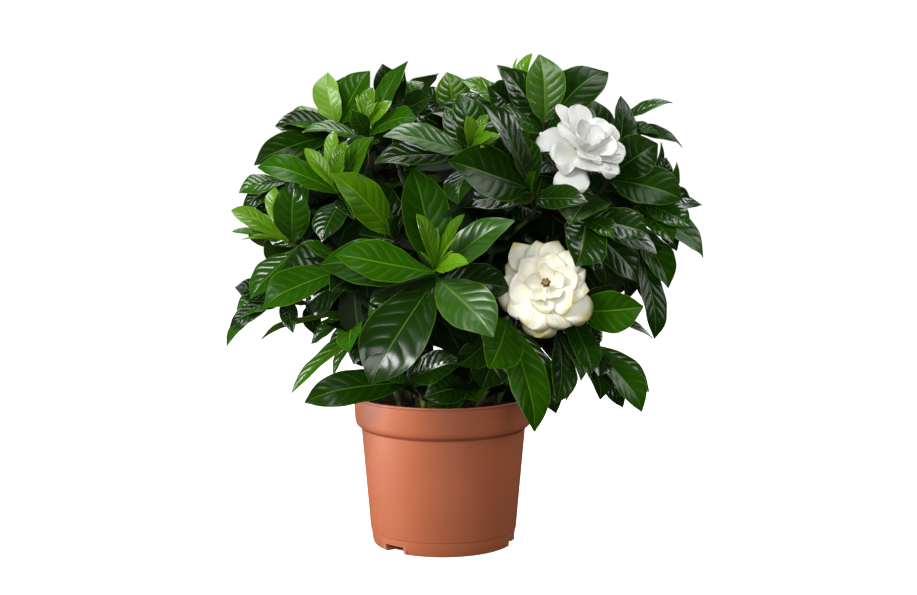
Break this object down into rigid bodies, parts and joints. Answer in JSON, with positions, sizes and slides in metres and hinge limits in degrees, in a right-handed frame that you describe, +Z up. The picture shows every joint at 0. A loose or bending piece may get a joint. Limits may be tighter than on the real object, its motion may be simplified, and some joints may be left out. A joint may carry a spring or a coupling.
{
  "type": "potted gardenia",
  "caption": "Leafy flowering shrub with white double blooms and glossy leaves, growing in a round tapered plastic pot.",
  "frame": {"origin": "middle of the pot's flat underside", "axes": "+Z up, the front of the plant towards -Y"},
  "size_m": [0.3693, 0.2708, 0.3808],
  "materials": {
    "pot_plastic": "satin terracotta plastic",
    "potting_soil": "loose dark potting soil",
    "petals": "soft white petal",
    "flower_heart": "dusty yellow-brown stamens",
    "young_leaves": "glossy lime young leaf",
    "mature_leaves": "glossy dark green leaf, quilted between its veins"
  },
  "bodies": {
    "root": {"pot": "pot_plastic", "soil": "potting_soil", "bloom_upper_petals": "petals", "bloom_lower_petals": "petals", "bloom_lower_heart": "flower_heart", "tuft_front": "young_leaves", "tuft_left": "young_leaves", "tuft_upper_left": "young_leaves", "tuft_top_left": "young_leaves", "tuft_upper_middle": "young_leaves", "tuft_crest_right": "young_leaves", "leafy_stem_front": "mature_leaves", "leafy_stem_left": "mature_leaves", "leafy_stem_upper_left": "mature_leaves", "leafy_stem_top": "mature_leaves", "leafy_stem_top_right": "mature_leaves", "leafy_stem_bloom_upper": "mature_leaves", "leafy_stem_right": "mature_leaves", "leafy_stem_bloom_lower": "mature_leaves", "leafy_stem_low": "mature_leaves", "leafy_stem_back_left": "mature_leaves", "leafy_stem_back": "mature_leaves", "leafy_stem_back_right": "mature_leaves"}
  },
  "joints": []
}
